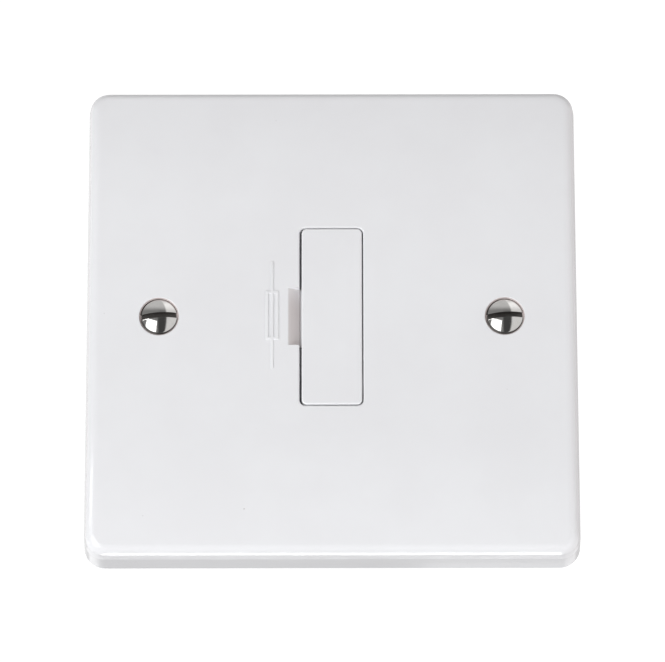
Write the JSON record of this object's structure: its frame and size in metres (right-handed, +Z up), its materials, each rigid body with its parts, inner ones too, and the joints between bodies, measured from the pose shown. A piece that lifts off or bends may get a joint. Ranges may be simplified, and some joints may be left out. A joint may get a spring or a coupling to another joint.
{
  "type": "fused spur unit",
  "caption": "Square moulded wall plate with rounded edges and a pull-out fuse carrier, a terminal housing behind it and screws that fix it to a wall box.",
  "frame": {"origin": "on the wall plane, midway between the two fixing screws", "axes": "+Y into the wall along the fixing screws, so the front faces -Y; +Z up; +X to the right seen from the front"},
  "size_m": [0.086, 0.0304, 0.086],
  "materials": {
    "white_moulding": "gloss",
    "grey_moulding": "satin",
    "nickel": "polished",
    "zinc_steel": "satin",
    "brass": "satin",
    "bronze_strip": "satin",
    "fuse_ceramic": "matte"
  },
  "bodies": {
    "unit": {"front_plate": "white_moulding", "rear_housing": "grey_moulding", "fixing_screws": "nickel", "housing_screws": "zinc_steel", "supply_fuse_contact": "bronze_strip", "load_fuse_contact": "bronze_strip", "neutral_link": "brass", "supply_live_terminal": "brass", "load_live_terminal": "brass", "supply_neutral_terminal": "brass", "load_neutral_terminal": "brass", "earth_bar": "brass"},
    "carrier": {"fuse_carrier": "white_moulding", "fuse_barrel": "fuse_ceramic", "fuse_cap_upper": "nickel", "fuse_cap_lower": "nickel"},
    "supply_live_screw": {"supply_live_screw": "zinc_steel"},
    "supply_neutral_screw": {"supply_neutral_screw": "zinc_steel"},
    "load_live_screw": {"load_live_screw": "zinc_steel"},
    "load_neutral_screw": {"load_neutral_screw": "zinc_steel"},
    "supply_earth_screw": {"supply_earth_screw": "zinc_steel"},
    "load_earth_screw": {"load_earth_screw": "zinc_steel"}
  },
  "joints": [
    {"name": "carrier_slide", "type": "slide", "parent": "unit", "child": "carrier", "axis": [0, -1, 0], "range_m": [0, 0.02]},
    {"name": "supply_live_screw_travel", "type": "slide", "parent": "unit", "child": "supply_live_screw", "axis": [0, -1, 0], "range_m": [0, 0.0038]},
    {"name": "supply_neutral_screw_travel", "type": "slide", "parent": "unit", "child": "supply_neutral_screw", "axis": [0, -1, 0], "range_m": [0, 0.0038]},
    {"name": "load_live_screw_travel", "type": "slide", "parent": "unit", "child": "load_live_screw", "axis": [0, -1, 0], "range_m": [0, 0.0038]},
    {"name": "load_neutral_screw_travel", "type": "slide", "parent": "unit", "child": "load_neutral_screw", "axis": [0, -1, 0], "range_m": [0, 0.0038]},
    {"name": "supply_earth_screw_travel", "type": "slide", "parent": "unit", "child": "supply_earth_screw", "axis": [0, -1, 0], "range_m": [0, 0.0038]},
    {"name": "load_earth_screw_travel", "type": "slide", "parent": "unit", "child": "load_earth_screw", "axis": [0, -1, 0], "range_m": [0, 0.0038]}
  ]
}
